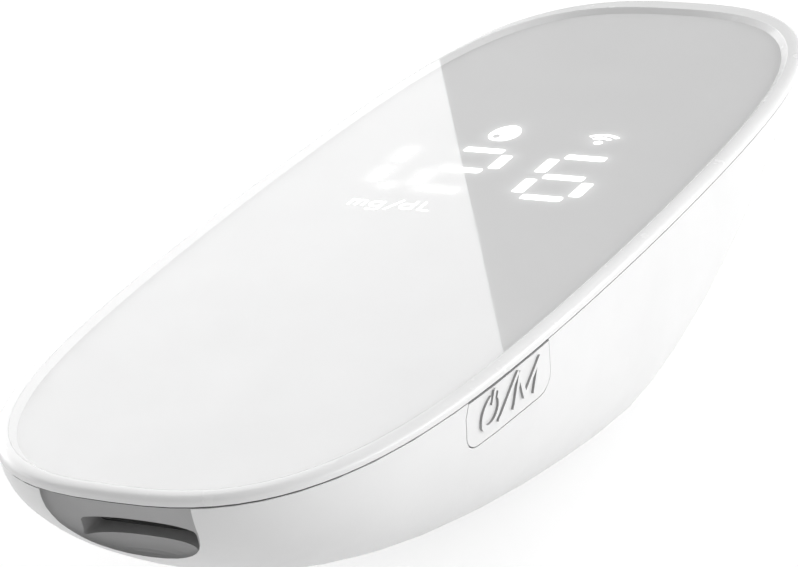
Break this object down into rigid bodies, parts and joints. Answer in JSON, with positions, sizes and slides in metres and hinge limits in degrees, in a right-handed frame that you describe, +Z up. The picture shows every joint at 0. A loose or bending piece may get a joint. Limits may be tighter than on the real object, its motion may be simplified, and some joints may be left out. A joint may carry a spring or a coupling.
{
  "type": "blood glucose meter",
  "caption": "Pocket blood glucose meter: oval boat-shaped white case, glossy face with lit digits, side power button, strip ejector slide and strip port in the nose.",
  "frame": {"origin": "on the resting plane, under the middle of the case", "axes": "+Y towards the display end, +X towards the power button side, +Z up out of the face"},
  "size_m": [0.0342, 0.0952, 0.0181],
  "materials": {
    "case_plastic": "satin white moulding",
    "cover_plastic": "gloss white moulding",
    "clear_lens": "clear, polished",
    "seal_rubber": "matte",
    "mask_plastic": "matte light-tight plastic",
    "guide_plastic": "clear light guide plastic",
    "lit_inlay": "diffusing, lit from behind",
    "led_package": "phosphor over white package",
    "board_laminate": "solder mask",
    "screw_steel": "zinc plated",
    "chip_epoxy": "moulded epoxy",
    "shield_tin": "tinned sheet",
    "small_parts": "ceramic chips",
    "port_plastic": "fine matte moulding",
    "connector_plastic": "moulded connector body",
    "contact_gold": "gold plated spring strip",
    "button_plastic": "satin white moulding",
    "switch_plastic": "moulded switch body",
    "slider_plastic": "satin white moulding",
    "carriage_steel": "pressed wire and strip",
    "spring_steel": "spring wire",
    "cell_pouch": "laminated foil pouch",
    "tray_plastic": "moulded tray",
    "foam_pad": "closed-cell foam",
    "nickel_tab": "nickel strip",
    "socket_steel": "folded sheet",
    "tongue_plastic": "moulded tongue"
  },
  "bodies": {
    "case": {"lower_housing": "case_plastic", "cover_frame": "cover_plastic", "cover_lens": "clear_lens", "cover_seal": "seal_rubber", "display_mask": "mask_plastic", "light_guides": "guide_plastic", "digit_left": "lit_inlay", "digit_middle": "lit_inlay", "digit_right": "lit_inlay", "decimal_point": "lit_inlay", "drop_icon": "lit_inlay", "radio_icon": "lit_inlay", "unit_mark": "lit_inlay", "led_array": "led_package", "main_board": "board_laminate", "board_screws": "screw_steel", "processor_chip": "chip_epoxy", "radio_module": "shield_tin", "board_parts": "small_parts", "strip_port_insert": "port_plastic", "strip_connector": "connector_plastic", "strip_contacts": "contact_gold", "switch_body": "switch_plastic", "ejector_spring": "spring_steel", "battery_cell": "cell_pouch", "battery_tray": "tray_plastic", "battery_foam": "foam_pad", "battery_tabs": "nickel_tab", "charging_socket": "socket_steel", "socket_tongue": "tongue_plastic"},
    "button": {"power_button": "button_plastic", "switch_plunger": "switch_plastic"},
    "ejector": {"ejector_slider": "slider_plastic", "ejector_carriage": "carriage_steel"}
  },
  "joints": [
    {"name": "power_button_press", "type": "slide", "parent": "case", "child": "button", "axis": [-1, 0, 0], "range_m": [0, 0.00035], "stiffness_N_per_m": 4500, "springref_m": -0.0001},
    {"name": "ejector_slide", "type": "slide", "parent": "case", "child": "ejector", "axis": [0, -1, 0], "range_m": [0, 0.005], "stiffness_N_per_m": 300, "springref_m": -0.001, "deforming": ["ejector_spring"]}
  ]
}
